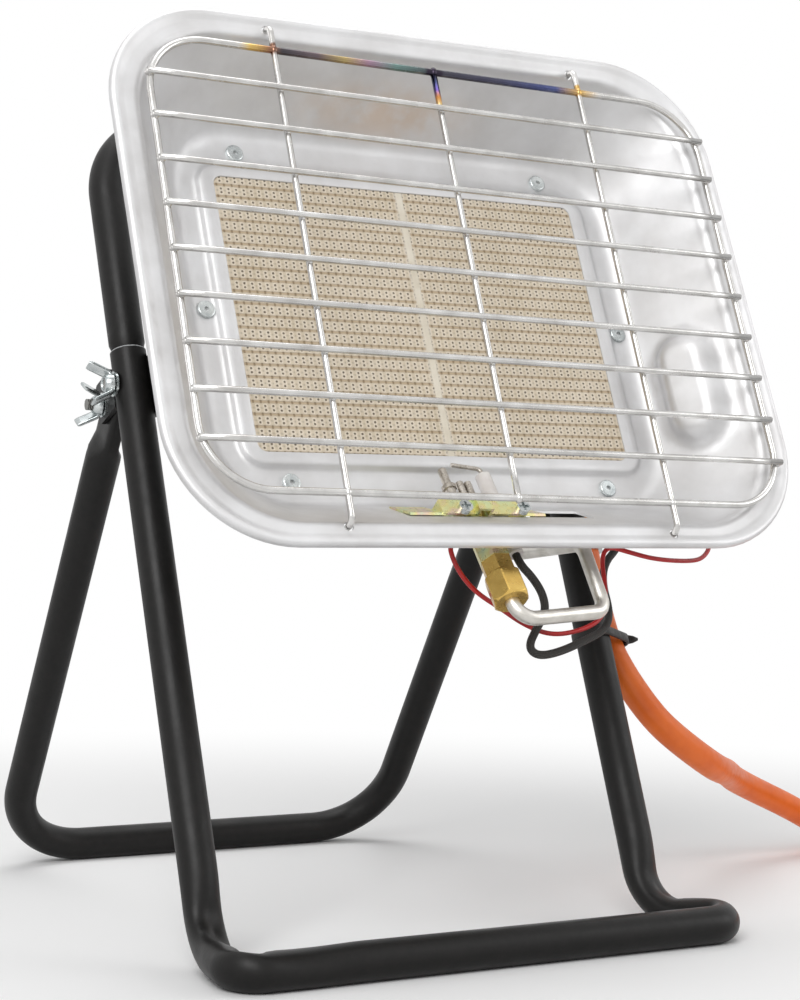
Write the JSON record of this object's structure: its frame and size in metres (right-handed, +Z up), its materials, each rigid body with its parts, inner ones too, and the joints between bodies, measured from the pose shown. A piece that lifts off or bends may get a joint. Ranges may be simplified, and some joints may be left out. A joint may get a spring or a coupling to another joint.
{
  "type": "radiant gas heater",
  "caption": "Portable infrared gas heater: a ceramic-plaque burner in a pressed reflector dish with a wire guard, on a folding tubular stand with an orange gas hose.",
  "frame": {"origin": "on the floor, midway across the heater's width and depth, without the free gas hose", "axes": "+X to the heater's left as it faces you (the valve side), +Y towards the back of the stand, +Z up; the grille faces -Y and leans back"},
  "size_m": [0.6298, 0.3382, 0.3916],
  "materials": {
    "black_steel": "satin black baked enamel",
    "reflector_steel": "satin aluminised steel",
    "grille_wire": "nickel-plated wire",
    "plaque_ceramic": "unglazed perforated ceramic",
    "joint_ceramic": "fibre-ceramic cement",
    "zinc_hardware": "bright zinc",
    "yellow_zinc": "yellow passivated zinc",
    "galvanised_steel": "galvanised",
    "brass": "machined",
    "aluminium_pipe": "drawn",
    "black_plastic": "moulded",
    "white_ceramic": "glazed insulator",
    "red_insulation": "silicone sleeve",
    "dark_insulation": "sleeved lead",
    "orange_rubber": "satin rubber hose",
    "stainless": "stainless"
  },
  "bodies": {
    "front_frame": {"front_tube": "black_steel", "carry_handle": "black_steel", "pivot_bracket_left": "black_steel", "pivot_bracket_right": "black_steel", "tilt_bolt_left": "zinc_hardware", "tilt_bolt_right": "zinc_hardware", "fold_bolt_left": "zinc_hardware", "fold_bolt_right": "zinc_hardware", "pivot_washers": "zinc_hardware", "hose_upper": "orange_rubber", "gas_hose": "orange_rubber", "hose_coil": "orange_rubber", "hose_end_ferrule": "zinc_hardware", "hose_end_nut": "brass", "hose_tie": "black_plastic"},
    "rear_frame": {"rear_tube": "black_steel"},
    "head": {"head_arm_left": "black_steel", "head_arm_right": "black_steel", "arm_screws": "zinc_hardware", "pilot_screws": "zinc_hardware", "inlet_ferrule": "zinc_hardware", "reflector": "reflector_steel", "guard_grille": "grille_wire", "pop_rivets": "zinc_hardware", "plaque_left": "plaque_ceramic", "plaque_right": "plaque_ceramic", "plaque_joint_strip": "joint_ceramic", "plaque_gasket": "joint_ceramic", "plaque_support": "galvanised_steel", "plenum_housing": "galvanised_steel", "mixing_tube": "galvanised_steel", "jet_bracket": "galvanised_steel", "valve_strap": "galvanised_steel", "main_jet": "brass", "brass_adapter": "brass", "pilot_union_nut": "brass", "gas_valve": "brass", "inlet_fitting": "brass", "pilot_bracket": "yellow_zinc", "pilot_jet_holder": "yellow_zinc", "pilot_burner": "stainless", "flame_probe": "stainless", "spark_electrode": "stainless", "pilot_gas_pipe": "aluminium_pipe", "main_gas_pipe": "aluminium_pipe", "electrode_sleeve": "white_ceramic", "spark_igniter": "black_plastic", "tilt_switch": "black_plastic", "switch_wire": "red_insulation", "ignition_lead": "dark_insulation"},
    "control_knob_body": {"control_knob": "black_plastic"},
    "fold_wing_nut_left": {"fold_wing_nut_left": "zinc_hardware"},
    "fold_wing_nut_right": {"fold_wing_nut_right": "zinc_hardware"},
    "igniter_button_body": {"igniter_button": "black_plastic"},
    "tilt_wing_nut_left": {"tilt_wing_nut_left": "zinc_hardware"},
    "tilt_wing_nut_right": {"tilt_wing_nut_right": "zinc_hardware"},
    "valve_stem_body": {"valve_stem": "zinc_hardware"}
  },
  "joints": [
    {"name": "rear_fold", "type": "hinge", "parent": "front_frame", "child": "rear_frame", "pos_m": [0, 0.01158, 0.22865], "axis": [-1, 0, 0], "range_deg": [0, 56]},
    {"name": "head_tilt", "type": "hinge", "parent": "front_frame", "child": "head", "pos_m": [0, -0.00877, 0.237], "axis": [-1, 0, 0], "range_deg": [-24, 30], "deforming": ["hose_upper"]},
    {"name": "tilt_nut_turn_left", "type": "hinge", "parent": "front_frame", "child": "tilt_wing_nut_left", "pos_m": [-0.119, -0.00877, 0.237], "axis": [-1, 0, 0], "continuous": true},
    {"name": "fold_nut_turn_left", "type": "hinge", "parent": "front_frame", "child": "fold_wing_nut_left", "pos_m": [-0.116, 0.01158, 0.22865], "axis": [-1, 0, 0], "continuous": true},
    {"name": "tilt_nut_turn_right", "type": "hinge", "parent": "front_frame", "child": "tilt_wing_nut_right", "pos_m": [0.119, -0.00877, 0.237], "axis": [1, 0, 0], "continuous": true},
    {"name": "fold_nut_turn_right", "type": "hinge", "parent": "front_frame", "child": "fold_wing_nut_right", "pos_m": [0.116, 0.01158, 0.22865], "axis": [1, 0, 0], "continuous": true},
    {"name": "knob_push", "type": "slide", "parent": "head", "child": "valve_stem_body", "axis": [0, -0.9155, 0.4024], "range_m": [0, 0.003], "stiffness_N_per_m": 600, "springref_m": -0.002},
    {"name": "knob_turn", "type": "hinge", "parent": "valve_stem_body", "child": "control_knob_body", "pos_m": [0.129, 0.01167, 0.18236], "axis": [0, 0.9155, -0.4024], "range_deg": [0, 180]},
    {"name": "igniter_press", "type": "slide", "parent": "head", "child": "igniter_button_body", "axis": [0, 0.4024, 0.9155], "range_m": [0, 0.004], "stiffness_N_per_m": 900, "springref_m": -0.002}
  ]
}
